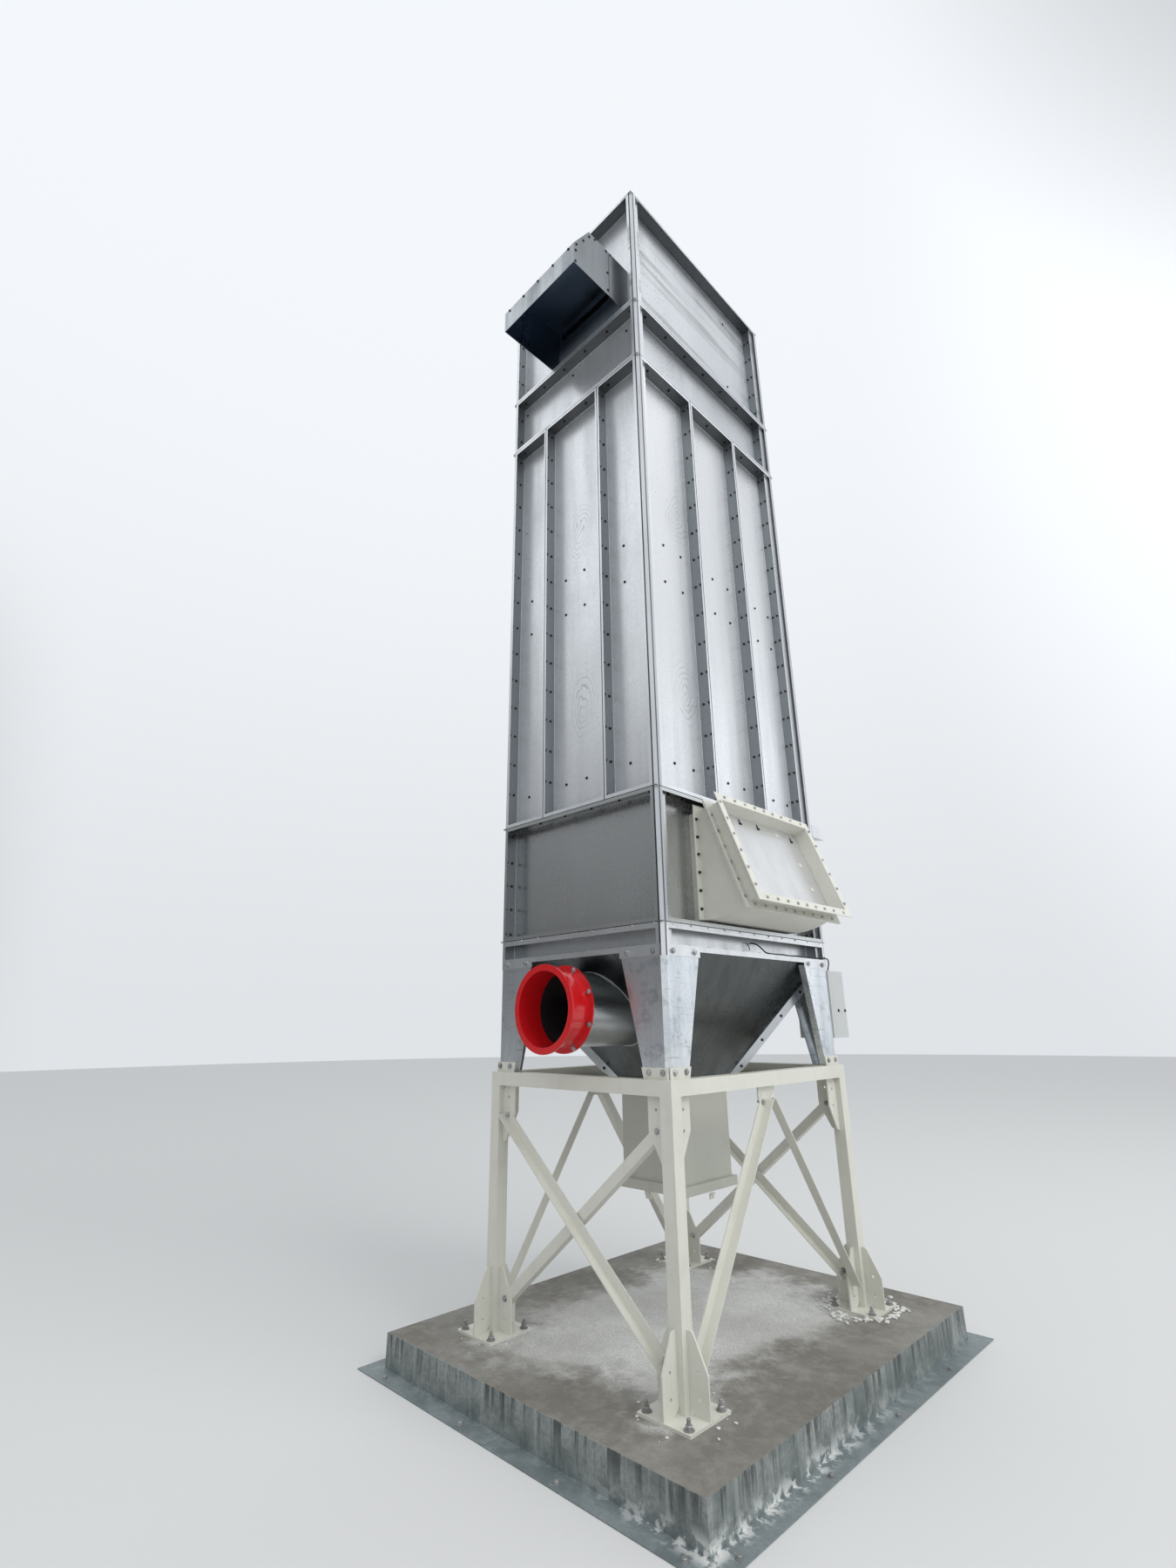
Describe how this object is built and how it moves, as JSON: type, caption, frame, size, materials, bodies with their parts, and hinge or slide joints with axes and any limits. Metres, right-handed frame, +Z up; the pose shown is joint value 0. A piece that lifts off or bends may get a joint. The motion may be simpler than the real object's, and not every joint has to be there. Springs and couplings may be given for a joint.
{
  "type": "bag filter dust collector tower",
  "caption": "Tall galvanised panel tower on a pyramid hopper and a braced cream frame, with a tilted explosion vent, an exhaust cowl, a flanged dust inlet and a concrete plinth.",
  "frame": {"origin": "centre of the concrete plinth's edge form, on the ground", "axes": "+Z up; -Y is the face with the dust inlet and the exhaust cowl; +X is the face with the explosion vent"},
  "size_m": [2.22, 2.57, 7.313],
  "materials": {
    "concrete": "cast concrete, dusty, with stains",
    "edge_sheet": "galvanised sheet, streaked by weather",
    "cream_paint": "satin cream paint",
    "hopper_plate": "dull galvanised plate",
    "galvanised_sheet": "bright galvanised sheet with faint spangle",
    "seal": "matt black",
    "red_paint": "gloss red paint",
    "box_paint": "satin light grey powder coat",
    "cable": "matt black sheath"
  },
  "bodies": {
    "root": {"plinth": "concrete", "edge_form_front": "edge_sheet", "edge_form_right": "edge_sheet", "edge_form_back": "edge_sheet", "edge_form_left": "edge_sheet", "leg_front_right": "cream_paint", "leg_back_right": "cream_paint", "leg_back_left": "cream_paint", "leg_front_left": "cream_paint", "ring_beam": "cream_paint", "brace_front_rising": "cream_paint", "brace_front_falling": "cream_paint", "brace_back_rising": "cream_paint", "brace_back_falling": "cream_paint", "brace_right_front": "cream_paint", "brace_right_back": "cream_paint", "brace_left_front": "cream_paint", "brace_left_back": "cream_paint", "chute": "cream_paint", "hopper": "hopper_plate", "bracket_front_right": "galvanised_sheet", "bracket_back_right": "galvanised_sheet", "bracket_back_left": "galvanised_sheet", "bracket_front_left": "galvanised_sheet", "collar": "galvanised_sheet", "plenum_front": "galvanised_sheet", "plenum_right": "galvanised_sheet", "plenum_back": "galvanised_sheet", "plenum_left": "galvanised_sheet", "filter_panels_front": "galvanised_sheet", "filter_panels_right": "galvanised_sheet", "filter_panels_back": "galvanised_sheet", "filter_panels_left": "galvanised_sheet", "band_front": "galvanised_sheet", "band_right": "galvanised_sheet", "band_back": "galvanised_sheet", "band_left": "galvanised_sheet", "chamber_front": "galvanised_sheet", "chamber_right": "galvanised_sheet", "chamber_back": "galvanised_sheet", "chamber_left": "galvanised_sheet", "corner_post_front_right": "galvanised_sheet", "corner_post_back_right": "galvanised_sheet", "corner_post_back_left": "galvanised_sheet", "corner_post_front_left": "galvanised_sheet", "section_seals": "seal", "roof": "galvanised_sheet", "exhaust_cowl": "galvanised_sheet", "inlet_stub": "galvanised_sheet", "inlet_spool": "red_paint", "vent_duct": "cream_paint", "vent_panel": "galvanised_sheet", "vent_frame": "cream_paint", "control_box": "box_paint", "sensor_cable": "cable"}
  },
  "joints": []
}
